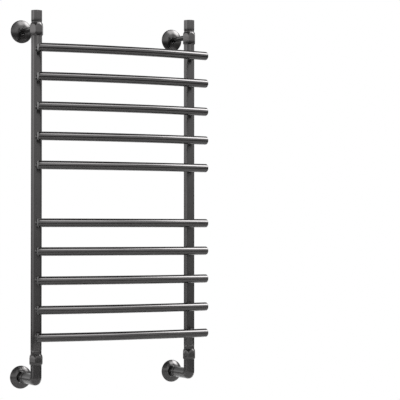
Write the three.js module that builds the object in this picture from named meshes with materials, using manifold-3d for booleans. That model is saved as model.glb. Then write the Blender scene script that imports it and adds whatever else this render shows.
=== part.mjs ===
// Wall-hung towel warmer: a ladder of bowed hot-water tubes on two upright posts.
// Millimetres, +Z up, X along the wall, +Y into the wall. The origin is at the middle of
// the bottom of the object's box: level with the lower rims of the two pipe rosettes.

import * as THREE from 'three';
import { mergeVertices } from 'three/addons/utils/BufferGeometryUtils.js';
import Module from 'manifold-3d';

const wasm = await Module();
wasm.setup();

// ---- driving dimensions -------------------------------------------------------------

const clearance = 0.3;              // gap between pieces that seat on or in each other

const postSpacing = 500;            // between the axes of the two posts
const postRadius = 16;
const postWall = 1.5;

const rungPitch = 83.23;
// Heights of the rungs in pitches, as measured; step 5 is left open for a bulky towel.
const rungSteps = [0, 0.945, 1.955, 2.96, 3.95, 5.94, 6.94, 7.98, 9, 10];
const rungRadius = 12.5;
const rungWall = 1.2;
const rungOverhang = 25.6;           // tip beyond the post's axis
const rungStandOff = 65.3;          // tip's axis in front of the post's axis
const rungBow = 25;                 // how far the middle stands in front of the tips
const rungEdge = 3;                 // rounding of the closed tip
const lowestRungRise = 126.5;       // above the axis of the wall connection

const stubRadius = 8;
const stubWall = 1.8;

const wallGap = 118;                // post's axis to the wall

const hexFlats = 36;                // across the flats of both kinds of hexagon
const hexChamfer = 7;               // length of the cone that rounds the corners
const hexShoulder = 0.4;            // end faces of the hexagons stand out from the post by this

const connectionBore = 10;          // radius of the waterway in the fittings
const elbowRise = 43.1;             // connection axis to the seat of the union nut
const elbowReach = 75;              // post's axis to the end of the elbow's wall leg
const nutHeight = 31.5;
const threadStep = 3;               // union thread inside the post's outside
const threadClearance = 0.4;
const neckHeight = 12.1;            // bare neck between union nut and post
const neckStep = 0.2;               // neck inside the post's outside
const insertDepth = 12;             // fittings reach this far into the post
const collarHeight = 8;
const gasketThickness = 1.5;

const sleeveStep = 0.5;             // sleeve of the wall nipple outside the elbow's leg
const sleeveGap = 2.5;              // dark joint between elbow and sleeve
const sleeveLength = 30.5;
const nippleWall = 3;
const nippleThreadWall = 1.7;
const nippleThreadDepth = 17;

const bracketRise = 39.8;           // highest rung's axis to the post's top end
const headHeight = 37.3;            // hexagonal head with the bracket in its back
const armRise = 23.5;               // head's lower face to the bracket's axis
const collarRingHeight = 3.7;
const collarRingStep = 0.7;         // ring inside the post's outside
const sealStep = 0.3;               // flat seal inside the post's outside
const capGap = 3.1;                 // groove that holds the seal under the cap
const capHeight = 30;
const capWall = 3.7;
const capRoof = 6;
const spigotClearance = 1.3;
const spigotLength = 16;            // length of the spigot inside the cap
const ventRadius = 3;
const ventHeadRadius = 4.5;
const ventHeadHeight = 3;

const armRadius = 8;
const armWall = 1.7;
const armSocketDepth = 4;
const plateFlange = 12;             // wall plate outside the arm
const plateThickness = 4;
const telescopeTravel = 6;          // arm's end to the wall plate
const studLength = 54;
const grubRadius = 2.3;
const grubSetback = 33;             // grub screw in front of the wall

const rosetteRadius = 34;
const rosetteSkin = 1.5;
const rosetteRim = 1.5;
const armRosetteDepth = 11;
const armRosetteGap = 1.5;          // around the bracket arm
const pipeRosetteDepth = 12;
const pipeRosetteGap = 1.2;         // around the nipple's sleeve

const fineSides = 24;
const roundSides = 16;
const smallSides = 12;
const innerSides = 8;

// ---- sizes and places worked out from them ------------------------------------------

const postBore = postRadius - postWall;
const hexEndRadius = postRadius + hexShoulder;
const nutBore = postRadius - threadStep + threadClearance;
const threadRadius = postRadius - threadStep;
const neckRadius = postRadius - neckStep;
const sleeveRadius = postRadius + sleeveStep;
const nippleRadius = connectionBore + nippleWall;
const nippleThread = connectionBore + nippleThreadWall;
const capRadius = postRadius;
const capBore = capRadius - capWall;
const spigotRadius = capBore - spigotClearance;
const collarRingRadius = postRadius - collarRingStep;
const plateRadius = armRadius + plateFlange;
const armRosetteHole = armRadius + armRosetteGap;
const pipeRosetteHole = sleeveRadius + pipeRosetteGap;

const connectionZ = Math.max(postRadius, rosetteRadius);
const lowestRungZ = connectionZ + lowestRungRise;
const highestRungZ = lowestRungZ + rungSteps[rungSteps.length - 1] * rungPitch;
const nutBottomZ = connectionZ + elbowRise + clearance;
const nutTopZ = nutBottomZ + nutHeight;
const postBottomZ = nutTopZ + neckHeight;
const postTopZ = highestRungZ + bracketRise;
const headBottomZ = postTopZ + clearance;
const headTopZ = headBottomZ + headHeight;
const armZ = headBottomZ + armRise;
const grooveBottomZ = headTopZ + collarRingHeight;
const capBottomZ = grooveBottomZ + capGap;

const rungHalf = postSpacing / 2 + rungOverhang;
const bowRadius = (rungHalf ** 2 + rungBow ** 2) / (2 * rungBow);
const frontReach = rungStandOff + rungBow + rungRadius;
const centreShift = (frontReach - wallGap) / 2;

// Distance of the rung's axis in front of the posts' axes, on one circular arc.
function rungFront(x) {
  return rungStandOff + Math.sqrt(bowRadius ** 2 - x ** 2) - (bowRadius - rungBow);
}

// ---- finishes -----------------------------------------------------------------------

const graphite = { color: 0x4a4744, roughness: 0.28, metalness: 1 };
const brass = { color: 0xb99a55, roughness: 0.35, metalness: 1 };
const steel = { color: 0xa9abad, roughness: 0.4, metalness: 1 };
const seal = { color: 0x1b1b1c, roughness: 0.75, metalness: 0 };

// ---- geometry helpers ---------------------------------------------------------------

// Merges shared corners, drops triangles that shrank to a line at a pole, and turns the
// faces outwards, whichever way the outline was drawn.
function closed(geometry) {
  geometry.deleteAttribute('normal');
  geometry.deleteAttribute('uv');
  const merged = mergeVertices(geometry, 1e-4);
  const corners = merged.getAttribute('position');
  const index = merged.index.array;
  const kept = [];
  const a = new THREE.Vector3();
  const b = new THREE.Vector3();
  const c = new THREE.Vector3();
  let volume = 0;
  for (let i = 0; i < index.length; i += 3) {
    const [p, q, r] = [index[i], index[i + 1], index[i + 2]];
    if (p === q || q === r || r === p) continue;
    kept.push(p, q, r);
    a.fromBufferAttribute(corners, p);
    b.fromBufferAttribute(corners, q);
    c.fromBufferAttribute(corners, r);
    volume += a.dot(b.cross(c));
  }
  if (volume < 0) {
    for (let i = 0; i < kept.length; i += 3) {
      [kept[i + 1], kept[i + 2]] = [kept[i + 2], kept[i + 1]];
    }
  }
  merged.setIndex(kept);
  return merged;
}

function toSolid(geometry) {
  const whole = closed(geometry);
  return new wasm.Manifold(new wasm.Mesh({
    numProp: 3,
    vertProperties: new Float32Array(whole.getAttribute('position').array),
    triVerts: new Uint32Array(whole.index.array),
  }));
}

function toGeometry(solid) {
  const mesh = solid.getMesh();
  const geometry = new THREE.BufferGeometry();
  geometry.setAttribute('position', new THREE.BufferAttribute(mesh.vertProperties, 3));
  geometry.setIndex(new THREE.BufferAttribute(mesh.triVerts, 1));
  return geometry;
}

// A turned piece about Z. The outline is a list of [radius, height].
function turned(outline, sides) {
  const points = outline.map(([radius, height]) => new THREE.Vector2(radius, height));
  const start = points[0];
  const end = points[points.length - 1];
  if (start.x > 0 || end.x > 0) points.push(start.clone());
  return new THREE.LatheGeometry(points, sides).rotateX(Math.PI / 2);
}

// The same turned piece lying along +Y, so an outline's height is its distance from the post.
function turnedAlongY(outline, sides) {
  return turned(outline, sides).rotateX(-Math.PI / 2);
}

function ring(outer, inner, low, high) {
  return [[outer, low], [outer, high], [inner, high], [inner, low]];
}

function rod(radius, low, high) {
  return [[0, low], [radius, low], [radius, high], [0, high]];
}

// The cutter for a round hole: its flats, not its corners, lie at the radius, so that a round
// piece with any number of sides passes through it.
function bore(radius, low, high, sides) {
  return rod(radius / Math.cos(Math.PI / sides), low, high);
}

function box(width, depth, height, x, y, z) {
  return new THREE.BoxGeometry(width, depth, height).translate(x, y, z);
}

// A hexagon with two flats facing the room and the wall, its corners cut by a cone at both ends.
function hexagon(low, high) {
  const cornerRadius = hexFlats / Math.sqrt(3);
  const outline = new THREE.Shape();
  for (let i = 0; i < 6; i += 1) {
    const angle = i * Math.PI / 3;
    const corner = [cornerRadius * Math.cos(angle), cornerRadius * Math.sin(angle)];
    if (i === 0) outline.moveTo(...corner);
    else outline.lineTo(...corner);
  }
  outline.closePath();
  const prism = new THREE.ExtrudeGeometry(outline, { depth: high - low, bevelEnabled: false });
  const cones = turned([
    [0, low], [hexEndRadius, low], [cornerRadius + 0.1, low + hexChamfer],
    [cornerRadius + 0.1, high - hexChamfer], [hexEndRadius, high], [0, high],
  ], fineSides);
  return toSolid(prism.translate(0, 0, low)).intersect(toSolid(cones));
}

// ---- pieces -------------------------------------------------------------------------

function post() {
  let solid = toSolid(turned(
    ring(postRadius, postBore, postBottomZ, postTopZ), fineSides));
  for (const step of rungSteps) {
    const hole = turnedAlongY(
      bore(stubRadius + clearance, -postRadius - 5, 0, smallSides), smallSides);
    solid = solid.subtract(toSolid(hole.translate(0, 0, lowestRungZ + step * rungPitch)));
  }
  return toGeometry(solid);
}

// A straight closed tube along X, bent onto the bow by moving each ring forwards.
function bowedRod(radius, half, edge, sides) {
  const outline = [[0, -half], [radius - edge, -half]];
  const bends = 6;
  for (let i = 0; i <= bends; i += 1) {
    outline.push([radius, (2 * i / bends - 1) * (half - edge)]);
  }
  outline.push([radius - edge, half], [0, half]);
  const geometry = turned(outline, sides).rotateY(Math.PI / 2);
  const corners = geometry.getAttribute('position');
  for (let i = 0; i < corners.count; i += 1) {
    corners.setY(i, corners.getY(i) - rungFront(corners.getX(i)));
  }
  return toSolid(geometry);
}

function rung() {
  let solid = bowedRod(rungRadius, rungHalf, rungEdge, smallSides);
  solid = solid.subtract(
    bowedRod(rungRadius - rungWall, rungHalf - rungEdge, rungEdge / 2, innerSides));
  const front = rungFront(postSpacing / 2);
  for (const side of [-1, 1]) {
    const hole = turnedAlongY(
      bore(stubRadius + clearance, -front, 0, smallSides), smallSides);
    solid = solid.subtract(toSolid(hole.translate(side * postSpacing / 2, 0, 0)));
  }
  return toGeometry(solid);
}

// Short tube that joins a rung to a post. Its ends pass through both walls.
function stub() {
  const seat = Math.sqrt(rungRadius ** 2 - stubRadius ** 2) - clearance;
  const root = Math.sqrt(postRadius ** 2 - stubRadius ** 2) - 2 * clearance;
  const tip = rungFront(postSpacing / 2) - seat;
  return closed(turnedAlongY(
    ring(stubRadius, stubRadius - stubWall, -tip, -root), smallSides));
}

function bracketHead() {
  const spigotTopZ = capBottomZ + spigotLength;
  const rootBottomZ = postTopZ - insertDepth;
  const root = turned(rod(postBore - clearance, rootBottomZ, headBottomZ + 1), roundSides);
  const top = turned([
    [0, headTopZ - 1], [collarRingRadius, headTopZ - 1], [collarRingRadius, grooveBottomZ],
    [spigotRadius, grooveBottomZ], [spigotRadius, spigotTopZ], [0, spigotTopZ],
  ], roundSides);
  const vent = turned(
    bore(ventRadius + clearance, rootBottomZ - 5, spigotTopZ + 5, smallSides), smallSides);
  const socketEndY = hexFlats / 2 - armSocketDepth;
  const socket = turnedAlongY(
    bore(armRadius + clearance, socketEndY, hexFlats, roundSides), roundSides);
  return toGeometry(hexagon(headBottomZ, headTopZ)
    .add(toSolid(root))
    .add(toSolid(top))
    .subtract(toSolid(vent))
    .subtract(toSolid(socket.translate(0, 0, armZ))));
}

function ventScrew() {
  const seatZ = capBottomZ + spigotLength + clearance;
  const headTop = seatZ + ventHeadHeight;
  const body = turned([
    [0, postTopZ], [ventRadius, postTopZ], [ventRadius, seatZ],
    [ventHeadRadius, seatZ], [ventHeadRadius, headTop], [0, headTop],
  ], smallSides);
  const slot = box(1.2, 3 * ventHeadRadius, 3, 0, 0, headTop);
  return toGeometry(toSolid(body).subtract(toSolid(slot)));
}

function capSeal() {
  return closed(turned(ring(
    postRadius - sealStep, spigotRadius + clearance,
    grooveBottomZ + clearance, capBottomZ - clearance), roundSides));
}

function ventCap() {
  const top = capBottomZ + capHeight;
  return closed(turned([
    [0, top], [capRadius - 1.2, top], [capRadius, top - 1.2], [capRadius, capBottomZ],
    [capBore, capBottomZ], [capBore, top - capRoof], [0, top - capRoof],
  ], fineSides));
}

function bracketArm() {
  const tube = turnedAlongY(ring(
    armRadius, armRadius - armWall,
    hexFlats / 2 - armSocketDepth + clearance,
    wallGap - plateThickness - telescopeTravel), roundSides);
  const hole = turned(
    bore(grubRadius + clearance, -2 * armRadius, 0, smallSides), smallSides);
  const solid = toSolid(tube).subtract(toSolid(hole.translate(0, wallGap - grubSetback, 0)));
  return toGeometry(solid.translate([0, 0, armZ]));
}

function grubScrew() {
  const studFace = armRadius - armWall;
  return closed(turned(rod(grubRadius, -armRadius + 0.1, -studFace), smallSides)
    .translate(0, wallGap - grubSetback, armZ));
}

function wallPlate() {
  const studRadius = armRadius - armWall - clearance;
  const face = wallGap - plateThickness;
  return closed(turnedAlongY([
    [0, face - studLength], [studRadius, face - studLength], [studRadius, face],
    [plateRadius, face], [plateRadius, wallGap], [0, wallGap],
  ], roundSides).translate(0, 0, armZ));
}

// A shallow cone of sheet metal that hides the hole in the wall, with a thin rim.
function rosette(hole, depth, z) {
  const rim = rosetteRim;
  return closed(turnedAlongY([
    [rosetteRadius, wallGap], [rosetteRadius, wallGap - rim],
    [rosetteRadius - rim, wallGap - 2 * rim], [hole, wallGap - depth],
    [hole, wallGap - depth + rosetteSkin],
    [rosetteRadius - rim - rosetteSkin, wallGap - rim], [rosetteRadius - rim, wallGap],
  ], fineSides).translate(0, 0, z));
}

// The tail is welded into the post and carries the union nut.
function postTail() {
  const threadBottomZ = nutBottomZ - clearance + collarHeight + gasketThickness + 2 * clearance;
  const insert = postBore - clearance;
  const insertTopZ = postBottomZ + insertDepth;
  return closed(turned([
    [connectionBore, threadBottomZ], [threadRadius, threadBottomZ],
    [threadRadius, nutTopZ + clearance],
    [neckRadius, nutTopZ + clearance], [neckRadius, postBottomZ - clearance],
    [insert, postBottomZ - clearance],
    [insert, insertTopZ], [connectionBore, insertTopZ],
  ], roundSides));
}

function unionNut() {
  const hole = turned(bore(nutBore, nutBottomZ - 5, nutTopZ + 5, roundSides), roundSides);
  return toGeometry(hexagon(nutBottomZ, nutTopZ).subtract(toSolid(hole)));
}

function gasket() {
  const low = nutBottomZ - clearance + collarHeight + clearance;
  return closed(turned(
    ring(threadRadius, connectionBore, low, low + gasketThickness), roundSides));
}

// Two legs that meet in a ball at the corner, bored through, with a collar inside the nut.
function elbow() {
  const legTop = connectionZ + elbowRise;
  const upright = turned([
    [0, connectionZ], [postRadius, connectionZ], [postRadius, legTop],
    [threadRadius, legTop], [threadRadius, legTop + collarHeight], [0, legTop + collarHeight],
  ], fineSides);
  const toWall = turnedAlongY(rod(postRadius, 0, elbowReach), fineSides)
    .translate(0, 0, connectionZ);
  const corner = new THREE.SphereGeometry(postRadius, fineSides, fineSides / 2)
    .rotateX(Math.PI / 2).translate(0, 0, connectionZ);
  const uprightBore = turned(rod(connectionBore, connectionZ, legTop + 20), roundSides);
  const wallBore = turnedAlongY(rod(connectionBore, 0, elbowReach + 5), roundSides)
    .translate(0, 0, connectionZ);
  const threadEndY = elbowReach - nippleThreadDepth - 1;
  const thread = turnedAlongY(
    bore(nippleThread + clearance, threadEndY, elbowReach + 5, roundSides), roundSides)
    .translate(0, 0, connectionZ);
  return toGeometry(toSolid(upright)
    .add(toSolid(toWall))
    .add(toSolid(corner))
    .subtract(toSolid(uprightBore))
    .subtract(toSolid(wallBore))
    .subtract(toSolid(thread)));
}

function wallNipple() {
  const sleeve = elbowReach + sleeveGap;
  return closed(turnedAlongY([
    [connectionBore, elbowReach - nippleThreadDepth], [nippleThread, elbowReach - nippleThreadDepth],
    [nippleThread, sleeve], [sleeveRadius, sleeve],
    [sleeveRadius, sleeve + sleeveLength], [nippleRadius, sleeve + sleeveLength],
    [nippleRadius, wallGap], [connectionBore, wallGap],
  ], roundSides).translate(0, 0, connectionZ));
}

// ---- assembly -----------------------------------------------------------------------

const towelWarmer = new THREE.Group();
towelWarmer.position.y = centreShift;

function place(parent, name, geometry, look, z = 0) {
  const mesh = new THREE.Mesh(geometry, new THREE.MeshStandardMaterial(look));
  mesh.name = name;
  mesh.position.z = z;
  parent.add(mesh);
}

for (const [side, x] of [['left', -postSpacing / 2], ['right', postSpacing / 2]]) {
  const column = new THREE.Group();
  column.position.x = x;
  towelWarmer.add(column);

  place(column, `${side}_post`, post(), graphite);
  rungSteps.forEach((step, i) => {
    const number = String(rungSteps.length - i).padStart(2, '0');
    place(column, `${side}_stub_${number}`, stub(), graphite, lowestRungZ + step * rungPitch);
  });

  place(column, `${side}_bracket_head`, bracketHead(), graphite);
  place(column, `${side}_vent_screw`, ventScrew(), brass);
  place(column, `${side}_cap_seal`, capSeal(), seal);
  place(column, `${side}_vent_cap`, ventCap(), graphite);
  place(column, `${side}_bracket_arm`, bracketArm(), graphite);
  place(column, `${side}_grub_screw`, grubScrew(), steel);
  place(column, `${side}_wall_plate`, wallPlate(), steel);
  place(column, `${side}_arm_rosette`,
    rosette(armRosetteHole, armRosetteDepth, armZ), graphite);

  place(column, `${side}_post_tail`, postTail(), graphite);
  place(column, `${side}_union_nut`, unionNut(), graphite);
  place(column, `${side}_gasket`, gasket(), seal);
  place(column, `${side}_elbow`, elbow(), graphite);
  place(column, `${side}_wall_nipple`, wallNipple(), graphite);
  place(column, `${side}_pipe_rosette`,
    rosette(pipeRosetteHole, pipeRosetteDepth, connectionZ), graphite);
}

rungSteps.forEach((step, i) => {
  const number = String(rungSteps.length - i).padStart(2, '0');
  place(towelWarmer, `rung_${number}`, rung(), graphite, lowestRungZ + step * rungPitch);
});

export default towelWarmer;
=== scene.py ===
# %% [markdown]
# # A towel warmer of bowed tubes
#
# The object is a wall-hung ladder of hot-water tubes. Two upright posts carry ten tubes that
# bow into the room, each on two short stubs. Below, a union nut and an elbow join each post
# to the pipe in the wall. Above, a hexagonal head holds a bracket arm and a vent cap.
#
# Nearly every piece was turned on a lathe, drawn as a tube or swept along a curve. Each one
# is therefore a surface: a function of two numbers, one that runs along an outline and one
# that runs around it. numpy works out all points of a surface at once.

# %% Load the fixed frame
import math

import bmesh
import bpy
import numpy as np
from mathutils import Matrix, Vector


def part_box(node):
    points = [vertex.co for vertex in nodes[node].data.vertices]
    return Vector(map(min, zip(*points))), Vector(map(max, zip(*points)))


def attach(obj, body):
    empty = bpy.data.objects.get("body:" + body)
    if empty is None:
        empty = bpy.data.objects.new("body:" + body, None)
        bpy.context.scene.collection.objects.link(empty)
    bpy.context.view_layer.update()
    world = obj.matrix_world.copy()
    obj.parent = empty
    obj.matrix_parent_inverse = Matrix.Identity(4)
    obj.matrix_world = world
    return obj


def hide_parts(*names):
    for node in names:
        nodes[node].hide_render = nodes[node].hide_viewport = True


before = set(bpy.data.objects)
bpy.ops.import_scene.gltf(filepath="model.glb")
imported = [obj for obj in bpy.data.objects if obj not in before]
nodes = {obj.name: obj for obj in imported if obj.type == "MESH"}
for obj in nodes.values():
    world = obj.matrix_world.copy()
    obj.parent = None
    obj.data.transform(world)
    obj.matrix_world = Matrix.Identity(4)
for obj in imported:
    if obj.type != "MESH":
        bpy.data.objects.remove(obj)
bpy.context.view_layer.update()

# %% [markdown]
# ## Camera
#
# A long lens far away keeps the posts parallel. The camera stands to the left of the rack, a
# little below its middle, and looks up by one degree, so all uprights stay upright.

# %% Camera
SENSOR_MM = 36.0
LENS_MM = 154.0
CAMERA_PLACE = (-2.160, -4.611, 0.462)
CAMERA_YAW = math.radians(28.0)
CAMERA_PITCH = math.radians(1.08)

camera_data = bpy.data.cameras.new("camera")
camera_data.sensor_width = SENSOR_MM
camera_data.lens = LENS_MM
camera = bpy.data.objects.new("camera", camera_data)
camera.location = CAMERA_PLACE
camera.rotation_euler = (math.pi / 2 + CAMERA_PITCH, 0.0, -CAMERA_YAW)
bpy.context.scene.collection.objects.link(camera)
bpy.context.scene.camera = camera
print("lens:", LENS_MM, "mm")

# %% [markdown]
# ## Sizes from the frame
#
# The fixed frame already says where every piece is. A box has a lowest and a highest corner,
# and a round piece's radius is half the width of its box. Only sizes that a box can't show,
# such as the thickness of a wall or the rounding of an edge, are written down here.


# %% Measuring helpers
MM = 0.001


def low(node):
    """The lowest corner of a node's box."""
    return np.array(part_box(node)[0])


def high(node):
    """The highest corner of a node's box."""
    return np.array(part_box(node)[1])


def centre(node):
    """The middle of a node's box."""
    return (low(node) + high(node)) / 2


def size(node):
    """The width, depth and height of a node's box."""
    return high(node) - low(node)


SIDES = ("left", "right")
POST_RADIUS = size("left_post")[0] / 2
POST_X = {side: centre(f"{side}_post")[0] for side in SIDES}
POST_Y = centre("left_post")[1]
RUNGS = sorted(name for name in nodes if name.startswith("rung_"))
RUNG_Z = {name: centre(name)[2] for name in RUNGS}
RUNG_RADIUS = size(RUNGS[0])[2] / 2
RUNG_HALF = size(RUNGS[0])[0] / 2
RUNG_FRONT = low(RUNGS[0])[1]
RUNG_BOW = size(RUNGS[0])[1] - 2 * RUNG_RADIUS
BOW_RADIUS = (RUNG_HALF ** 2 + RUNG_BOW ** 2) / (2 * RUNG_BOW)
BOW_CENTRE_Y = RUNG_FRONT + RUNG_RADIUS + BOW_RADIUS
STUB_RADIUS = size("left_stub_01")[0] / 2
WALL_Y = high("left_wall_plate")[1]
PIPE_Z = centre("left_wall_nipple")[2]
ARM_Z = centre("left_bracket_arm")[2]
print("post", round(POST_RADIUS / MM, 2), "rung", round(RUNG_RADIUS / MM, 2),
      "bow", round(RUNG_BOW / MM, 2), "mm")

# %% [markdown]
# ## From a formula to a mesh
#
# A surface is a grid of points. Rows follow the outline and columns go around. A ring of
# columns always closes on itself. Rows close too when the outline is a loop, as on a tube
# with a wall. Where a row shrinks to a point on the axis, its doubles are merged, which
# leaves a proper pole.


# %% Grid to mesh
def add_surface(name, points, loop=False):
    """Makes an object from a grid of points with rows along an outline and columns around it.

    Each square of the grid becomes one face. The columns wrap round, and the rows do too if
    loop is true. Merging doubles closes the poles, and the normals are then turned outwards.
    """
    rows, columns = points.shape[:2]
    index = np.arange(rows * columns).reshape(rows, columns)
    wrapped = np.concatenate([index, index[:, :1]], axis=1)
    if loop:
        wrapped = np.concatenate([wrapped, wrapped[:1]], axis=0)
    faces = np.stack([wrapped[:-1, :-1], wrapped[:-1, 1:], wrapped[1:, 1:], wrapped[1:, :-1]], -1)
    mesh = bpy.data.meshes.new(name)
    mesh.from_pydata(points.reshape(-1, 3).tolist(), [], faces.reshape(-1, 4).tolist())
    work = bmesh.new()
    work.from_mesh(mesh)
    bmesh.ops.remove_doubles(work, verts=work.verts, dist=1e-7)
    bmesh.ops.recalc_face_normals(work, faces=work.faces)
    work.to_mesh(mesh)
    work.free()
    mesh.shade_smooth()
    mesh.set_sharp_from_angle(angle=math.radians(38))
    piece = bpy.data.objects.new(name, mesh)
    bpy.context.scene.collection.objects.link(piece)
    return piece


def finish_piece(piece, body, slot, material, *replaced):
    """Gives a piece its finish and its body, and hides the nodes that it stands for."""
    piece.data.materials.append(material)
    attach(piece, body)
    if replaced:
        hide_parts(*replaced)


# %% [markdown]
# ## Outlines with rounded corners
#
# A turner breaks every sharp edge, and the small curve that is left catches a line of light.
# An outline is drawn with straight lines, and each corner is then replaced by an arc that
# touches both of its lines.


# %% Rounded outlines
def rounded(outline, radius, steps=4, loop=False):
    """Replaces the corners of an outline of straight lines by arcs.

    The arc starts and ends at radius / tan(half the corner's angle) from the corner, at most
    45 % of the way to the next one. Its points are the two arms from the arc's centre, mixed
    by sin((1 - k) a) / sin(a) and sin(k a) / sin(a), which turns one arm into the other.
    """
    corner = np.asarray(outline, float)
    before = np.roll(corner, 1, axis=0)
    after = np.roll(corner, -1, axis=0)
    to_before = before - corner
    to_after = after - corner
    length_before = np.linalg.norm(to_before, axis=1)
    length_after = np.linalg.norm(to_after, axis=1)
    to_before /= length_before[:, None]
    to_after /= length_after[:, None]
    half = np.arccos(np.clip((to_before * to_after).sum(1), -0.9999, 0.9999)) / 2
    reach = np.minimum(radius / np.tan(half), 0.45 * np.minimum(length_before, length_after))
    middle = to_before + to_after
    middle /= np.maximum(np.linalg.norm(middle, axis=1), 1e-9)[:, None]
    arc_centre = corner + middle * (reach / np.cos(half))[:, None]
    first = corner + to_before * reach[:, None] - arc_centre
    last = corner + to_after * reach[:, None] - arc_centre
    turn = np.pi - 2 * half
    k = np.linspace(0, 1, steps)[None, :, None]
    turn = turn[:, None, None]
    mixed = (np.sin((1 - k) * turn) * first[:, None] + np.sin(k * turn) * last[:, None])
    arcs = arc_centre[:, None] + mixed / np.sin(turn)
    if loop:
        return arcs.reshape(-1, 2)
    inner = arcs[1:-1].reshape(-1, 2)
    return np.concatenate([corner[:1], inner, corner[-1:]])


def divided(outline, step, loop=False):
    """Adds points to the long straight stretches of an outline, about one every step."""
    start = outline
    end = np.roll(outline, -1, axis=0)
    if not loop:
        start = start[:-1]
        end = end[:-1]
    count = np.maximum(1, np.ceil(np.linalg.norm(end - start, axis=1) / step)).astype(int)
    which = np.repeat(np.arange(len(count)), count)
    share = (np.arange(count.sum()) - np.repeat(np.cumsum(count) - count, count)) / count[which]
    points = start[which] + (end - start)[which] * share[:, None]
    return points if loop else np.concatenate([points, outline[-1:]])


# %% [markdown]
# ## Turned pieces
#
# A turned piece carries an outline of radius and height once round its axis. Uprights turn
# about Z. The bracket arms, rosettes and nipples point at the wall, so they turn about Y.


# %% Turning
def turned(outline, x, y, sides=72):
    """Carries an outline of (radius, height) round the upright axis at x, y.

    A point is (x + radius cos a, y + radius sin a, height) for each angle a of the circle.
    """
    angle = np.linspace(0, 2 * np.pi, sides, endpoint=False)
    radius = outline[:, :1]
    height = np.broadcast_to(outline[:, 1:], (len(outline), sides))
    return np.stack([x + radius * np.cos(angle), y + radius * np.sin(angle), height], -1)


def turned_to_wall(outline, x, z, sides=72):
    """Carries an outline of (radius, distance along Y) round the level axis at x, z."""
    angle = np.linspace(0, 2 * np.pi, sides, endpoint=False)
    radius = outline[:, :1]
    along = np.broadcast_to(outline[:, 1:], (len(outline), sides))
    return np.stack([x + radius * np.cos(angle), along, z + radius * np.sin(angle)], -1)


def wall_loop(outer, inner, start, end):
    """The outline of a tube's wall between two ends, as a loop."""
    return [[outer, start], [outer, end], [inner, end], [inner, start]]


# %% [markdown]
# ## The finish: graphite PVD coating on polished stainless steel
#
# The tubes are stainless steel, polished and then coated in a vacuum chamber with a layer a
# thousandth of a millimetre thick. The coat is a metal compound, so it reflects as a metal
# does, but only about a fifteenth of the light: the eye sees a dark, nearly neutral grey with
# soft bright streaks. The polish under it leaves faint scratches around the tube and cloudy
# patches where the belt dwelt. Both change the roughness more than the colour. The bowed tubes
# are polished finest, and the rosettes and arms at the wall least.
#
# The colours are written as sRGB hex values, and one function turns them to linear light.


# %% Colour and node helpers
def linear(code):
    """Turns a hex colour into linear red, green, blue and alpha.

    Each sRGB channel c becomes c / 12.92 below 0.04045 and ((c + 0.055) / 1.055) ** 2.4 above.
    """
    channel = np.array([int(code[i:i + 2], 16) for i in (1, 3, 5)]) / 255
    bent = np.where(channel <= 0.04045, channel / 12.92, ((channel + 0.055) / 1.055) ** 2.4)
    return (*bent.tolist(), 1.0)


def add_node(tree, kind, settings=None, links=None):
    """Adds a node, sets its properties and inputs by name, and links other nodes' outputs."""
    node = tree.nodes.new(kind)
    for name, value in (settings or {}).items():
        if isinstance(name, int) or name in node.inputs:
            node.inputs[name].default_value = value
        else:
            setattr(node, name, value)
    for name, output in (links or {}).items():
        tree.links.new(output, node.inputs[name])
    return node


def new_material(name):
    """An empty node material with its output and a Principled shader."""
    material = bpy.data.materials.new(name)
    material.use_nodes = True
    tree = material.node_tree
    tree.nodes.clear()
    output = tree.nodes.new("ShaderNodeOutputMaterial")
    shader = tree.nodes.new("ShaderNodeBsdfPrincipled")
    tree.links.new(shader.outputs["BSDF"], output.inputs["Surface"])
    return material, tree, shader


def per_metre(millimetres):
    """The scale that repeats a noise about once in that many millimetres."""
    return 1 / (millimetres * MM)


# %% Graphite PVD coating
CLOUD_WIDTH = 60
SCRATCH_WIDTH = 0.8
SCRATCH_LENGTH = 24
UNEVENNESS = 0.03


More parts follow.
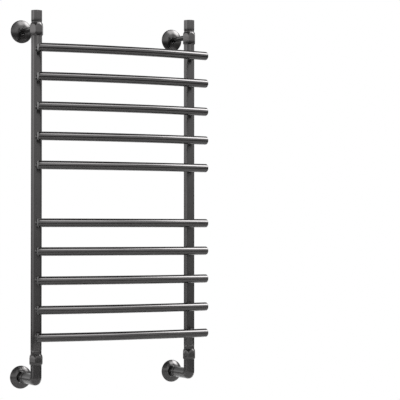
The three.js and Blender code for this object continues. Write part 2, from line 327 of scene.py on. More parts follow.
def graphite_pvd(name, dark, light, roughness, scratch_axis):
    """Graphite-coloured PVD on belt-polished steel, its scratches across scratch_axis.

    Cloud: noise about 60 mm across mixes the two colours and shifts the roughness by 0.03.
    Scratches: noise squeezed to 0.8 mm along the axis and stretched to 24 mm around it,
    coarser than the real 0.1 mm so that it shows. They add up to 0.03 to the roughness and
    tilt the surface very slightly.
    """
    material, tree, shader = new_material(name)
    shader.inputs["Metallic"].default_value = 1.0
    place = add_node(tree, "ShaderNodeTexCoord").outputs["Object"]
    cloud = add_node(tree, "ShaderNodeTexNoise",
                     {"Scale": per_metre(CLOUD_WIDTH), "Detail": 3.0, "Roughness": 0.55},
                     {"Vector": place})
    stretch = [1 / SCRATCH_LENGTH] * 3
    stretch[scratch_axis] = 1 / SCRATCH_WIDTH
    squeezed = add_node(tree, "ShaderNodeMapping", {"Scale": stretch}, {"Vector": place})
    scratches = add_node(tree, "ShaderNodeTexNoise",
                         {"Scale": per_metre(1), "Detail": 2.0, "Roughness": 0.6},
                         {"Vector": squeezed.outputs["Vector"]})
    colour = add_node(tree, "ShaderNodeMix",
                      {"data_type": "RGBA"}, {"Factor": cloud.outputs["Fac"]})
    colour.inputs[6].default_value = linear(dark)
    colour.inputs[7].default_value = linear(light)
    tree.links.new(colour.outputs[2], shader.inputs["Base Color"])
    clouded = add_node(tree, "ShaderNodeMapRange",
                       {"From Min": 0.3, "From Max": 0.7,
                        "To Min": roughness - UNEVENNESS, "To Max": roughness + UNEVENNESS},
                       {"Value": cloud.outputs["Fac"]})
    worn = add_node(tree, "ShaderNodeMath", {"operation": "MULTIPLY_ADD"},
                    {0: scratches.outputs["Fac"], 2: clouded.outputs["Result"]})
    worn.inputs[1].default_value = UNEVENNESS
    tree.links.new(worn.outputs["Value"], shader.inputs["Roughness"])
    bump = add_node(tree, "ShaderNodeBump", {"Strength": 0.02, "Distance": 0.00004},
                    {"Height": scratches.outputs["Fac"]})
    tree.links.new(bump.outputs["Normal"], shader.inputs["Normal"])
    return material


ALONG_X, ALONG_Y, ALONG_Z = 0, 1, 2
GRAPHITE_DARK = "#444343"
GRAPHITE_LIGHT = "#4c4b4b"
tube_finish = graphite_pvd("graphite_pvd_bowed_tubes", GRAPHITE_DARK, GRAPHITE_LIGHT, 0.13, ALONG_X)
post_finish = graphite_pvd("graphite_pvd_posts", GRAPHITE_DARK, GRAPHITE_LIGHT, 0.2, ALONG_Z)
fitting_finish = graphite_pvd("graphite_pvd_fittings", GRAPHITE_DARK, GRAPHITE_LIGHT, 0.2, ALONG_Z)
wall_part_finish = graphite_pvd("graphite_pvd_wall_parts", GRAPHITE_DARK, GRAPHITE_LIGHT, 0.22, ALONG_Y)
print("coat:", GRAPHITE_DARK, "to", GRAPHITE_LIGHT, "or", round(linear(GRAPHITE_DARK)[0], 3), "to",
      round(linear(GRAPHITE_LIGHT)[0], 3), "of the light")


# %% [markdown]
# ## Brass, rubber and plain steel
#
# Three more finishes are mostly hidden. The vent screw is turned brass. Its lathe left rings
# about 0.3 mm apart. The seals are black EPDM rubber with a dusty bloom. The wall plates and
# the grub screws are plain stainless steel, turned and not coated.


# %% Turned metal and rubber
def turned_metal(name, colour, roughness, ring_axis):
    """Bare turned metal: lathe rings 0.3 mm apart along the axis, drawn 1.5 mm apart to show."""
    material, tree, shader = new_material(name)
    shader.inputs["Metallic"].default_value = 1.0
    shader.inputs["Base Color"].default_value = linear(colour)
    place = add_node(tree, "ShaderNodeTexCoord").outputs["Object"]
    stretch = [1 / 40, 1 / 40, 1 / 40]
    stretch[ring_axis] = 1 / 1.5
    squeezed = add_node(tree, "ShaderNodeMapping", {"Scale": stretch}, {"Vector": place})
    rings = add_node(tree, "ShaderNodeTexNoise",
                     {"Scale": per_metre(1), "Detail": 2.0}, {"Vector": squeezed.outputs["Vector"]})
    polish = add_node(tree, "ShaderNodeMapRange",
                      {"From Min": 0.3, "From Max": 0.7,
                       "To Min": roughness - 0.08, "To Max": roughness + 0.08},
                      {"Value": rings.outputs["Fac"]})
    tree.links.new(polish.outputs["Result"], shader.inputs["Roughness"])
    bump = add_node(tree, "ShaderNodeBump", {"Strength": 0.3, "Distance": 0.00005},
                    {"Height": rings.outputs["Fac"]})
    tree.links.new(bump.outputs["Normal"], shader.inputs["Normal"])
    return material


def moulded_rubber(name):
    """Black EPDM: a grey bloom in patches 4 mm across over a matt, nearly black body."""
    material, tree, shader = new_material(name)
    place = add_node(tree, "ShaderNodeTexCoord").outputs["Object"]
    bloom = add_node(tree, "ShaderNodeTexNoise",
                     {"Scale": per_metre(4), "Detail": 4.0}, {"Vector": place})
    colour = add_node(tree, "ShaderNodeMix",
                      {"data_type": "RGBA"}, {"Factor": bloom.outputs["Fac"]})
    colour.inputs[6].default_value = linear("#141414")
    colour.inputs[7].default_value = linear("#2a2a29")
    tree.links.new(colour.outputs[2], shader.inputs["Base Color"])
    shader.inputs["Roughness"].default_value = 0.7
    bump = add_node(tree, "ShaderNodeBump", {"Strength": 0.2, "Distance": 0.00005},
                    {"Height": bloom.outputs["Fac"]})
    tree.links.new(bump.outputs["Normal"], shader.inputs["Normal"])
    return material


brass_finish = turned_metal("turned_brass", "#b9984f", 0.3, ALONG_Z)
steel_finish = turned_metal("turned_stainless_steel", "#a8a9aa", 0.35, ALONG_Y)
rubber_finish = moulded_rubber("moulded_epdm_rubber")
print("hidden finishes:", ", ".join(m.name for m in (brass_finish, steel_finish, rubber_finish)))

GRAPHITE = "graphite_coated_steel"
RUBBER = "rubber_seal"
STEEL = "plain_steel"

# %% [markdown]
# ## Posts
#
# A post is a straight drawn tube. Its wall shows only at the cut ends, so the surface goes up
# the outside and down the inside as one loop.

# %% Posts
POST_WALL = 1.5 * MM
CUT_EDGE = 0.3 * MM
CLEARANCE = 0.3 * MM

for side in SIDES:
    node = f"{side}_post"
    outline = rounded(wall_loop(POST_RADIUS, POST_RADIUS - POST_WALL, low(node)[2], high(node)[2]),
                      CUT_EDGE, loop=True)
    points = turned(divided(outline, 60 * MM, loop=True), POST_X[side], POST_Y, sides=96)
    piece = add_surface(f"{side}_post_tube", points, loop=True)
    finish_piece(piece, "frame", GRAPHITE, post_finish, node)
print("posts:", round(size("left_post")[2], 3), "m long")

# %% [markdown]
# ## Bowed tubes
#
# Each tube was bent on a large radius, closed with a disc at both ends, welded and polished.
# The weld leaves a nearly flat end with a soft edge. The outline of radius and length is
# carried along a circular arc: the length turns into an angle of the bow, and the radius
# leaves the arc upwards and outwards.


# %% Bowed tubes
def along_bow(outline, z, sides=64):
    """Carries an outline of (radius, distance from the middle) along the bow of a tube.

    The bow is a circle of radius B about a point behind the rack. B follows from half the
    tube's length h and the depth b of the bow, (h^2 + b^2) / 2b. A distance s from the middle
    is the angle t = s / B, where outwards is (sin t, -cos t). A point of the tube is
    (B + radius cos a) times outwards, and radius sin a up.
    """
    angle = np.linspace(0, 2 * np.pi, sides, endpoint=False)
    radius = outline[:, :1]
    turn = outline[:, 1:] / BOW_RADIUS
    reach = BOW_RADIUS + radius * np.cos(angle)
    up = z + radius * np.sin(angle)
    return np.stack([reach * np.sin(turn), BOW_CENTRE_Y - reach * np.cos(turn), up], -1)


TUBE_EDGE = 2.6 * MM
END_CROWN = 0.7 * MM
LOST_TO_ROUNDING = 0.3 * MM
tube_half = BOW_RADIUS * math.asin(RUNG_HALF / (BOW_RADIUS + RUNG_RADIUS)) + LOST_TO_ROUNDING
tube_outline = rounded([
    [0, -tube_half], [RUNG_RADIUS * 0.5, -tube_half + END_CROWN * 0.25],
    [RUNG_RADIUS, -tube_half + END_CROWN], [RUNG_RADIUS, tube_half - END_CROWN],
    [RUNG_RADIUS * 0.5, tube_half - END_CROWN * 0.25], [0, tube_half],
], TUBE_EDGE, steps=8)

for name in RUNGS:
    points = along_bow(divided(tube_outline, 9 * MM), RUNG_Z[name])
    piece = add_surface(name.replace("rung", "bowed_tube"), points)
    finish_piece(piece, "frame", GRAPHITE, tube_finish, name)
print("bowed tubes:", len(RUNGS))

# %% [markdown]
# ## Stubs and their welds
#
# A stub is cut to fit the post at one end and the bowed tube at the other, then welded all
# round and the bead is ground to a small hollow fillet. Its ends are saddles. A boolean cut
# could make them, but the formula is short: at each angle the stub reaches as deep as the
# round tube that it meets.


# %% Stubs
SUNK = 1 * MM


def stub_surface(x, z, bead=2.2 * MM, wall=1.8 * MM, sides=48):
    """A hollow stub between a post and a bowed tube, flared at both ends.

    For a point at angle a and radius r, the post's skin lies at -sqrt(P^2 - (r cos a)^2) from
    its axis and the bowed tube's skin at sqrt(R^2 - (r sin a)^2) from its own. A row at depth d
    from a skin has radius r = stub + bead - sqrt(bead^2 - (bead - d)^2), a quarter circle.
    The outermost rows and the ends of the bore are sunk a little into the post and the tube.
    """
    angle = np.linspace(0, 2 * np.pi, sides, endpoint=False)
    fillet = np.linspace(0, 1, 7)
    depth = np.concatenate([[-SUNK], bead * (1 - np.cos(fillet * np.pi / 2))])
    inward = np.clip(bead - np.maximum(depth, 0), 0, bead)
    radius = STUB_RADIUS + bead - np.sqrt(bead ** 2 - inward ** 2)
    inside = STUB_RADIUS - wall

    def post_skin(r):
        """Distance along Y of the post's skin where the stub meets it."""
        return POST_Y - np.sqrt(POST_RADIUS ** 2 - (r * np.cos(angle)) ** 2)

    def tube_skin(r):
        """Distance along Y of the back of the bowed tube where the stub meets it."""
        across = np.abs(x) + np.sign(x) * r * np.cos(angle)
        axis = BOW_CENTRE_Y - np.sqrt(BOW_RADIUS ** 2 - across ** 2)
        return axis + np.sqrt(RUNG_RADIUS ** 2 - (r * np.sin(angle)) ** 2)

    rows = [(r, post_skin(r) - d) for r, d in zip(radius, depth)]
    rows += [(r, tube_skin(r) + d) for r, d in zip(radius[::-1], depth[::-1])]
    rows += [(inside, tube_skin(inside) - SUNK), (inside, post_skin(inside) + SUNK)]
    r = np.array([np.full(sides, row[0]) for row in rows])
    y = np.array([row[1] for row in rows])
    return np.stack([x + r * np.cos(angle), y, z + r * np.sin(angle)], -1)


for side in SIDES:
    for number, name in enumerate(RUNGS, start=1):
        node = f"{side}_stub_{number:02d}"
        points = stub_surface(POST_X[side], centre(node)[2])
        piece = add_surface(f"{side}_welded_stub_{number:02d}", points, loop=True)
        finish_piece(piece, "frame", GRAPHITE, wall_part_finish, node)
print("stubs:", 2 * len(RUNGS))

# %% [markdown]
# ## Hexagons that were turned
#
# A hexagonal fitting starts as hexagonal bar. The lathe cuts a cone on each end, and where the
# cone meets a flat it leaves the curved edge that makes every flat look like an oval. The
# rows of the grid follow that edge: at each angle they climb the cone until it meets the
# flat, and the last row stops just short of it, which leaves a narrow bevel.


# %% Turned hexagons
HEX_FLATS = size("left_union_nut")[1]
HEX_COLUMNS = 192
HEX_ANGLE = np.linspace(0, 2 * np.pi, HEX_COLUMNS, endpoint=False)


def hexagon_radius(flats, roundness=90):
    """Distance from the axis to a hexagon's side at each angle, two flats facing along Y.

    It is half the flats over the largest |cos| of the angles to the three pairs of flats. A
    power sum in place of the largest one rounds the six corners a little.
    """
    normals = np.radians([90, 30, 150])[:, None]
    cosines = np.abs(np.cos(HEX_ANGLE - normals))
    return flats / 2 / (cosines ** roundness).sum(0) ** (1 / roundness)


def hexagon_rows(start, end, flats, end_radius, lower_cone, upper_cone, bevel=0.06):
    """Radius and height of the rows of a hexagon with a cone on both ends.

    A cone runs from end_radius to the corners in its full length, so at each angle it meets
    the side after the share (side - end_radius) / (corner - end_radius) of that length.
    """
    side = hexagon_radius(flats)
    share_climbed = (side - end_radius) / (side.max() - end_radius)
    shares = np.array([0, 0.3, 0.65, 1 - bevel])[:, None]
    cone_radius = end_radius + (side - end_radius) * shares
    lower_height = start + lower_cone * share_climbed * shares
    upper_height = end - upper_cone * share_climbed * shares
    flat_radius = np.broadcast_to(side, (4, HEX_COLUMNS))
    first = start + lower_cone * share_climbed * (1 + bevel)
    last = end - upper_cone * share_climbed * (1 + bevel)
    flat_height = first + (last - first) * np.array([0, 0.33, 0.67, 1])[:, None]
    radius = np.concatenate([cone_radius, flat_radius, cone_radius[::-1]])
    height = np.concatenate([lower_height, flat_height, upper_height[::-1]])
    return radius, height


def round_rows(outline):
    """Radius and height of plain round rows, as wide as a hexagon's."""
    outline = np.asarray(outline, float)
    shape = (len(outline), HEX_COLUMNS)
    return np.broadcast_to(outline[:, :1], shape), np.broadcast_to(outline[:, 1:], shape)


def stacked(x, y, *parts):
    """Joins rows of radius and height into one grid of points about the axis at x, y."""
    radius = np.concatenate([part[0] for part in parts])
    height = np.concatenate([part[1] for part in parts])
    return np.stack([x + radius * np.cos(HEX_ANGLE), y + radius * np.sin(HEX_ANGLE), height], -1)


print("hexagon:", round(HEX_FLATS / MM, 1), "mm across flats,",
      round(2 * hexagon_radius(HEX_FLATS).max() / MM, 1), "mm across its rounded corners")


# %% [markdown]
# ## Bracket heads and vent caps
#
# The head closes the top of the post. From below it is a root inside the post, the hexagon, a
# narrow ring and a spigot with the flat seal round its foot. A small hole runs through it for
# the vent screw. The cap is pushed over the spigot and stops a little above the ring, and the
# seal in the narrow groove between them shows as a dark line.

# %% Bracket heads
HEX_END_RADIUS = POST_RADIUS + 0.4 * MM
LOWER_CONE = 5 * MM
UPPER_CONE = 10 * MM
RING_RADIUS = POST_RADIUS - 0.7 * MM
RING_HEIGHT = 3.7 * MM
VENT_HOLE = 3.3 * MM
INSERT_DEPTH = 12 * MM
CAP_BORE = 12.3 * MM
CAP_ROOF = 6 * MM
CAP_CROWN = 0.4 * MM

for side in SIDES:
    head = f"{side}_bracket_head"
    cap = f"{side}_vent_cap"
    post_top = high(f"{side}_post")[2]
    hex_start = post_top + CLEARANCE
    groove_end = low(cap)[2]
    seal = f"{side}_cap_seal"
    groove_start = 2 * centre(seal)[2] - groove_end
    hex_end = groove_start - RING_HEIGHT
    spigot = POST_RADIUS - 5 * MM
    root = POST_RADIUS - POST_WALL - CLEARANCE
    lower = round_rows([[VENT_HOLE, post_top - INSERT_DEPTH], [root, post_top - INSERT_DEPTH],
                        [root, hex_start]])
    upper = rounded([[HEX_END_RADIUS, hex_end], [RING_RADIUS, hex_end], [RING_RADIUS, groove_start],
                     [spigot, groove_start], [spigot, high(head)[2]], [VENT_HOLE, high(head)[2]]],
                    0.5 * MM)
    hexagon = hexagon_rows(hex_start, hex_end, HEX_FLATS, HEX_END_RADIUS, LOWER_CONE, UPPER_CONE)
    points = stacked(POST_X[side], POST_Y, lower, hexagon, round_rows(upper[1:]))
    piece = add_surface(f"{side}_turned_bracket_head", points, loop=True)
    finish_piece(piece, "frame", GRAPHITE, fitting_finish, head)

    cap_radius = size(cap)[0] / 2
    cap_top = high(cap)[2]
    roof = cap_top - CAP_ROOF
    outline = rounded([[0, roof], [CAP_BORE, roof], [CAP_BORE, low(cap)[2]],
                       [cap_radius, low(cap)[2]], [cap_radius, cap_top - CAP_CROWN],
                       [0, cap_top]], 0.9 * MM, steps=6)
    points = turned(divided(outline, 8 * MM), POST_X[side], POST_Y)
    piece = add_surface(f"{side}_push_on_cap", points)
    finish_piece(piece, f"{side}_vent_cap", GRAPHITE, fitting_finish, cap)

    outline = rounded(wall_loop(size(seal)[0] / 2, spigot + CLEARANCE, low(seal)[2], high(seal)[2]),
                      0.4 * MM, loop=True)
    piece = add_surface(f"{side}_cap_flat_seal", turned(outline, POST_X[side], POST_Y), loop=True)
    finish_piece(piece, "frame", RUBBER, rubber_finish, seal)
print("vent caps:", round(2 * cap_radius / MM, 1), "mm wide, bore", round(2 * CAP_BORE / MM, 1), "mm")

# %% [markdown]
# ## Bracket arms, wall plates and rosettes
#
# The arm is a tube that slides over a stud on the wall plate, and a grub screw under it locks
# the distance to the wall. The rosette is spun from thin sheet: a shallow cone with a bevelled
# rim that lies on the wall. The larger opening of the pipe rosette leaves room for the sleeve,
# and its edge is turned in as a neck that keeps the rosette round the sleeve.


# %% Outline of a rosette
ARM_WALL = 1.7 * MM
ARM_CLEARANCE = 1.5 * MM
SLEEVE_CLEARANCE = 1.2 * MM
PLATE_THICKNESS = 4 * MM
RIM = 1.5 * MM
BULGE = 1.2 * MM
NECK_NARROWING = 0.8 * MM
NECK_WALL = 1.2 * MM


def rosette_outline(rim_radius, hole, depth, neck=0, skin=1.5 * MM):
    """The spun cone as a loop of radius and Y: out along the wall, over the rim, up the cone.

    The cone bulges by a sine of height BULGE between rim and hole, as spun sheet does. A neck
    of the given depth turns back from the hole towards the wall and narrows on its way.
    """
    share = np.linspace(0, 1, 14)
    bulge = BULGE * np.sin(np.pi * share)
    cone_radius = rim_radius - RIM + (hole - rim_radius + RIM) * share
    front = WALL_Y - 2 * RIM - (depth - 2 * RIM) * share - bulge
    outside = np.stack([cone_radius, front], -1)
    narrowest = hole + NECK_WALL if neck else hole
    inside_radius = np.maximum(cone_radius[::-1], narrowest)
    inside = np.stack([inside_radius, np.minimum(front[::-1] + skin, WALL_Y)], -1)
    if neck:
        end = WALL_Y - depth + neck
        tip = [[hole - NECK_NARROWING, end], [hole - NECK_NARROWING + NECK_WALL, end]]
        outside = np.concatenate([outside, tip])
    edge = rounded([[rim_radius - RIM, WALL_Y], [rim_radius, WALL_Y],
                    [rim_radius, WALL_Y - RIM], [rim_radius - RIM, WALL_Y - 2 * RIM]], 0.4 * MM)
    return np.concatenate([edge[:-1], outside, inside])


# %% Bracket arms, plates and rosettes
for side in SIDES:
    x = POST_X[side]
    arm = f"{side}_bracket_arm"
    arm_radius = size(arm)[0] / 2
    outline = rounded(wall_loop(arm_radius, arm_radius - ARM_WALL, low(arm)[1], high(arm)[1]),
                      0.4 * MM, loop=True)
    points = turned_to_wall(divided(outline, 12 * MM, loop=True), x, ARM_Z, sides=48)
    piece = add_surface(f"{side}_bracket_tube", points, loop=True)
    finish_piece(piece, "frame", GRAPHITE, wall_part_finish, arm)

    plate = f"{side}_wall_plate"
    plate_radius = size(plate)[0] / 2
    stud = arm_radius - 2.0 * MM
    face = WALL_Y - PLATE_THICKNESS
    outline = rounded([[0, low(plate)[1]], [stud, low(plate)[1]], [stud, face],
                       [plate_radius, face], [plate_radius, WALL_Y], [0, WALL_Y]], 0.6 * MM)
    points = turned_to_wall(divided(outline, 4 * MM), x, ARM_Z)
    piece = add_surface(f"{side}_plate_and_stud", points)
    finish_piece(piece, f"{side}_wall_plate", STEEL, steel_finish, plate)

    rosette = f"{side}_arm_rosette"
    rim_radius = size(rosette)[0] / 2
    outline = rosette_outline(rim_radius, arm_radius + ARM_CLEARANCE, size(rosette)[1])
    points = turned_to_wall(outline, x, ARM_Z, sides=96)
    piece = add_surface(f"{side}_spun_arm_rosette", points, loop=True)
    finish_piece(piece, f"{side}_arm_rosette", GRAPHITE, wall_part_finish, rosette)

    rosette = f"{side}_pipe_rosette"
    nipple = f"{side}_wall_nipple"
    sleeve_radius = size(nipple)[0] / 2
    depth = size(rosette)[1]
    outline = rosette_outline(rim_radius, sleeve_radius + SLEEVE_CLEARANCE, depth,
                              neck=depth - 1 * MM)
    points = turned_to_wall(outline, x, PIPE_Z, sides=96)
    piece = add_surface(f"{side}_spun_pipe_rosette", points, loop=True)
    finish_piece(piece, f"{side}_pipe_rosette", GRAPHITE, wall_part_finish, rosette)
print("pipe rosettes:", round(2 * rim_radius / MM, 1), "mm wide,", round(depth / MM, 1), "mm deep")

# %% [markdown]
# ## Union nuts, tails, elbows and nipples
#
# The elbow is two tubes that meet at a mitre, its outer corner blended round and its inner
# corner tight. One formula gives both. Each line along the elbow runs down one leg and out
# along the other, a distance d = radius x cos a outside the axis, so its own corner lies at
# (-d, -d), and it gets its own small arc.

# %% Surface of an elbow
CORNER_OUTSIDE = 21 * MM
CORNER_INSIDE = 2.5 * MM
WATERWAY = 10 * MM
COLLAR_HEIGHT = 8 * MM
NUT_WALL = 2.6 * MM
NUT_EDGE = 0.6 * MM
THREAD_RADIUS = 11.7 * MM
PIPE_WALL = 3 * MM
SLEEVE_GAP = 4 * MM


def elbow_surface(x, top, reach, collar, sides=72):
    """The elbow as a loop: outside from the collar to the wall leg's end, then back inside.

    A line at angle a keeps d = radius cos a outside both axes. Its corner is rounded by an arc
    of radius g, which grows from the inside corner to the outside one by (1 + cos a) / 2.
    The arc's centre is (g - d, g - d) from the axes' crossing.
    """
    angle = np.linspace(0, 2 * np.pi, sides, endpoint=False)

    def legs(upright, level):
        """Rows of one skin: (radius, height) down the upright leg, (radius, Y) out the other."""
        radius = upright[-1][0]
        out = radius * np.cos(angle)
        bend = CORNER_INSIDE + (CORNER_OUTSIDE - CORNER_INSIDE) * (1 + np.cos(angle)) / 2
        turn = np.linspace(0, np.pi / 2, 14)[:, None]
        rows_y = [POST_Y - r * np.cos(angle) for r, _ in upright]
        rows_z = [np.full(sides, h) for _, h in upright]
        rows_y += list(POST_Y + bend - out - bend * np.cos(turn))
        rows_z += list(PIPE_Z + bend - out - bend * np.sin(turn))
        rows_y += [np.full(sides, y) for _, y in level]
        rows_z += [PIPE_Z - r * np.cos(angle) for r, _ in level]
        rows_r = [r for r, _ in upright] + [radius] * len(turn) + [r for r, _ in level]
        rows_x = [x + r * np.sin(angle) for r in rows_r]
        return np.stack([np.array(rows_x), np.array(rows_y), np.array(rows_z)], -1)

    seat = top - COLLAR_HEIGHT
    edge = 0.5 * MM
    outer = legs(
        [(collar, top), (collar, seat), (POST_RADIUS - edge, seat), (POST_RADIUS, seat - edge),
         (POST_RADIUS, PIPE_Z + POST_RADIUS + CORNER_INSIDE + 1 * MM)],
        [(POST_RADIUS, reach - edge), (POST_RADIUS - edge, reach)])
    inner = legs([(WATERWAY, top), (WATERWAY, PIPE_Z + POST_RADIUS)], [(WATERWAY, reach)])
    return np.concatenate([outer, inner[::-1]])


# %% Elbows, nuts, tails and nipples
for side in SIDES:
    x = POST_X[side]
    elbow = f"{side}_elbow"
    nut = f"{side}_union_nut"
    tail = f"{side}_post_tail"
    nipple = f"{side}_wall_nipple"
    reach = high(elbow)[1]
    collar = POST_RADIUS - 3 * MM
    points = elbow_surface(x, high(elbow)[2], reach, collar)
    piece = add_surface(f"{side}_mitred_elbow", points, loop=True)
    finish_piece(piece, f"{side}_elbow", GRAPHITE, fitting_finish, elbow)

    bore = POST_RADIUS - NUT_WALL
    start = low(nut)[2]
    end = high(nut)[2]
    hexagon = hexagon_rows(start, end, HEX_FLATS, HEX_END_RADIUS, LOWER_CONE, UPPER_CONE)
    inside = round_rows([[bore + NUT_EDGE, end], [bore, end - NUT_EDGE],
                         [bore, start + NUT_EDGE], [bore + NUT_EDGE, start]])
    piece = add_surface(f"{side}_turned_union_nut", stacked(x, POST_Y, hexagon, inside), loop=True)
    finish_piece(piece, f"{side}_union_nut", GRAPHITE, fitting_finish, nut)

    post_end = low(f"{side}_post")[2]
    neck = size(tail)[0] / 2
    insert = POST_RADIUS - POST_WALL - CLEARANCE
    outline = rounded([[WATERWAY, low(tail)[2]], [collar, low(tail)[2]], [collar, end + CLEARANCE],
                       [neck, end + CLEARANCE], [neck, post_end - CLEARANCE],
                       [insert, post_end - CLEARANCE], [insert, high(tail)[2]],
                       [WATERWAY, high(tail)[2]]], 0.4 * MM, loop=True)
    piece = add_surface(f"{side}_union_tail", turned(outline, x, POST_Y), loop=True)
    finish_piece(piece, "frame", GRAPHITE, fitting_finish, tail)

    sleeve = size(nipple)[0] / 2
    pipe = WATERWAY + PIPE_WALL
    sleeve_start = reach + SLEEVE_GAP
    sleeve_end = WALL_Y - 0.6 * MM
    outline = rounded([[WATERWAY, low(nipple)[1]], [THREAD_RADIUS, low(nipple)[1]],
                       [THREAD_RADIUS, sleeve_start], [sleeve, sleeve_start], [sleeve, sleeve_end],
                       [pipe, sleeve_end], [pipe, WALL_Y], [WATERWAY, WALL_Y]],
                      0.9 * MM, loop=True)
    points = turned_to_wall(divided(outline, 8 * MM, loop=True), x, PIPE_Z)
    piece = add_surface(f"{side}_sleeved_nipple", points, loop=True)
    finish_piece(piece, f"{side}_elbow", GRAPHITE, wall_part_finish, nipple)
print("elbow reaches", round((reach - POST_Y) / MM, 1), "mm behind the post's axis, wall at",
      round((WALL_Y - POST_Y) / MM, 1), "mm")

# %% [markdown]
# ## Small pieces that stay as they are
#
# The vent screws, grub screws and gaskets keep their shape from the frame. They only get
# their real finishes.

# %% Finishes of the small pieces
for side in SIDES:
    for part, finish in (("vent_screw", brass_finish), ("grub_screw", steel_finish),
                         ("gasket", rubber_finish)):
        mesh = nodes[f"{side}_{part}"].data
        mesh.materials.clear()
        mesh.materials.append(finish)
print("small pieces with a finish of their own:", 3 * len(SIDES))

# %% [markdown]
# ## Floor and light
#
# A dark shiny object shows its surroundings more than itself. The room is therefore drawn as
# light boxes with soft edges: a strong one high on the right, a smaller one high in front with
# a faint wide one below it, a dim one on the left and one high behind. A pale glow lies just
# above the horizon and fades below it, and it is weaker on the right and behind. So each tube
# shows a bright streak above, a dark line in the middle and the pale floor below. The floor
# ends where that dark line starts. The backdrop is white to the camera only.

# %% Floor
FLOOR_DROP = 0.35
FLOOR_HALF = 2.2
floor_mesh = bpy.data.meshes.new("floor")
floor_corners = [(-FLOOR_HALF, -FLOOR_HALF, -FLOOR_DROP), (FLOOR_HALF, -FLOOR_HALF, -FLOOR_DROP),
                 (FLOOR_HALF, FLOOR_HALF, -FLOOR_DROP), (-FLOOR_HALF, FLOOR_HALF, -FLOOR_DROP)]
floor_mesh.from_pydata(floor_corners, [], [(0, 1, 2, 3)])
floor = bpy.data.objects.new("floor", floor_mesh)
bpy.context.scene.collection.objects.link(floor)
floor_material, _, floor_shader = new_material("matt_pale_paint")
floor_shader.inputs["Base Color"].default_value = linear("#c6c6c6")
floor_shader.inputs["Roughness"].default_value = 0.9
floor_mesh.materials.append(floor_material)
print("floor:", 2 * FLOOR_HALF, "m wide,", FLOOR_DROP, "m below the frame's zero")


# %% Light boxes
def towards(bearing, elevation):
    """The unit vector to a bearing, from the front (-Y) towards the right, and an elevation."""
    around = math.radians(bearing)
    up = math.radians(elevation)
    return (math.sin(around) * math.cos(up), -math.cos(around) * math.cos(up), math.sin(up))


def add_softbox(sky, direction, bearing, elevation, half_width, strength):
    """A round light box far away with a soft edge, as a brightness over all directions.

    The dot product with the box's own direction is the cosine of the angle from its middle. A
    smooth step takes it from 0 at 1.4 half widths to the full strength at 0.6 half widths.
    """
    cosine = add_node(sky, "ShaderNodeVectorMath", {"operation": "DOT_PRODUCT"}, {0: direction})
    cosine.inputs[1].default_value = towards(bearing, elevation)
    box = add_node(sky, "ShaderNodeMapRange",
                   {"interpolation_type": "SMOOTHSTEP", "To Max": strength,
                    "From Min": math.cos(math.radians(1.4 * half_width)),
                    "From Max": math.cos(math.radians(0.6 * half_width))},
                   {"Value": cosine.outputs["Value"]})
    return box.outputs["Result"]


KEY_BEARING = 71
KEY_ELEVATION = 42
SOFTBOXES = {
    "key high on the right": (KEY_BEARING, KEY_ELEVATION, 16, 10.0),
    "fill high in front": (26, 52, 13, 6.5),
    "soft front": (0, 34, 20, 0.9),
    "left": (-95, 8, 15, 1.5),
    "behind": (180, 62, 15, 4.0),
}
GLOW_BEARING = -40
GLOW_FULL_WITHIN = 100
GLOW_LEAST_PAST = 140
GLOW_LEAST = 0.45
RAMP_SCALE = 2.0
HORIZON = [(-90, 0.4), (-40, 0.3), (-7, 0.28), (0, 0.8), (8, 1.9), (22, 1.0), (40, 0.4), (90, 0.3)]

# %% World
world = bpy.data.worlds.new("soft_studio")
bpy.context.scene.world = world
world.use_nodes = True
sky = world.node_tree
sky.nodes.clear()
direction = add_node(sky, "ShaderNodeTexCoord").outputs["Generated"]
axes = add_node(sky, "ShaderNodeSeparateXYZ", None, {"Vector": direction})
height = add_node(sky, "ShaderNodeMapRange", {"From Min": -1.0, "From Max": 1.0},
                  {"Value": axes.outputs["Z"]})
glow = add_node(sky, "ShaderNodeValToRGB", None, {"Fac": height.outputs["Result"]})
for place in HORIZON[1:-1]:
    glow.color_ramp.elements.new((1 + math.sin(math.radians(place[0]))) / 2)
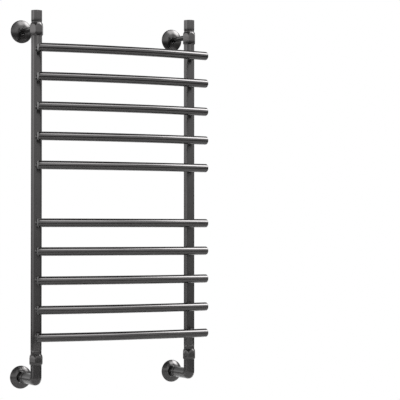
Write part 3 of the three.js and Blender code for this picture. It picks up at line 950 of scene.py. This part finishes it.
# The ramp holds the glow divided by RAMP_SCALE, which keeps its colours below 1, and front_share
# multiplies it back. The glow is full near GLOW_BEARING and falls to GLOW_LEAST opposite to it.
for element, (elevation, value) in zip(glow.color_ramp.elements, HORIZON):
    grey = value / RAMP_SCALE
    element.position = (1 + math.sin(math.radians(elevation))) / 2
    element.color = (grey, grey, grey, 1.0)
facing = add_node(sky, "ShaderNodeVectorMath", {"operation": "DOT_PRODUCT"}, {0: direction})
facing.inputs[1].default_value = towards(GLOW_BEARING, 0)
front_share = add_node(sky, "ShaderNodeMapRange",
                       {"From Min": math.cos(math.radians(GLOW_LEAST_PAST)),
                        "From Max": math.cos(math.radians(GLOW_FULL_WITHIN)),
                        "To Min": GLOW_LEAST * RAMP_SCALE, "To Max": RAMP_SCALE},
                       {"Value": facing.outputs["Value"]})
light = add_node(sky, "ShaderNodeMath", {"operation": "MULTIPLY"},
                 {0: glow.outputs["Color"], 1: front_share.outputs["Result"]}).outputs["Value"]
for place in SOFTBOXES.values():
    light = add_node(sky, "ShaderNodeMath", {"operation": "ADD"},
                     {0: light, 1: add_softbox(sky, direction, *place)}).outputs["Value"]
soft = add_node(sky, "ShaderNodeBackground", {"Strength": 1.0}, {"Color": light})
white = add_node(sky, "ShaderNodeBackground", {"Strength": 1.0})
white.inputs["Color"].default_value = (1.0, 1.0, 1.0, 1.0)
seen = add_node(sky, "ShaderNodeLightPath").outputs["Is Camera Ray"]
both = add_node(sky, "ShaderNodeMixShader", None, {"Fac": seen})
sky.links.new(soft.outputs["Background"], both.inputs[1])
sky.links.new(white.outputs["Background"], both.inputs[2])
world_output = add_node(sky, "ShaderNodeOutputWorld")
sky.links.new(both.outputs["Shader"], world_output.inputs["Surface"])

# %% Core of the key light
KEY_CORE_ENERGY = 0.8
KEY_CORE_WIDTH = 26
key_data = bpy.data.lights.new("key_core", "SUN")
key_data.energy = KEY_CORE_ENERGY
key_data.angle = math.radians(KEY_CORE_WIDTH)
key = bpy.data.objects.new("key_core", key_data)
aim = towards(KEY_BEARING, KEY_ELEVATION)
key.rotation_euler = (math.acos(aim[2]), 0.0, math.atan2(aim[1], aim[0]) + math.pi / 2)
bpy.context.scene.collection.objects.link(key)
bpy.context.scene.view_settings.view_transform = "Standard"
print("light boxes:", ", ".join(SOFTBOXES))
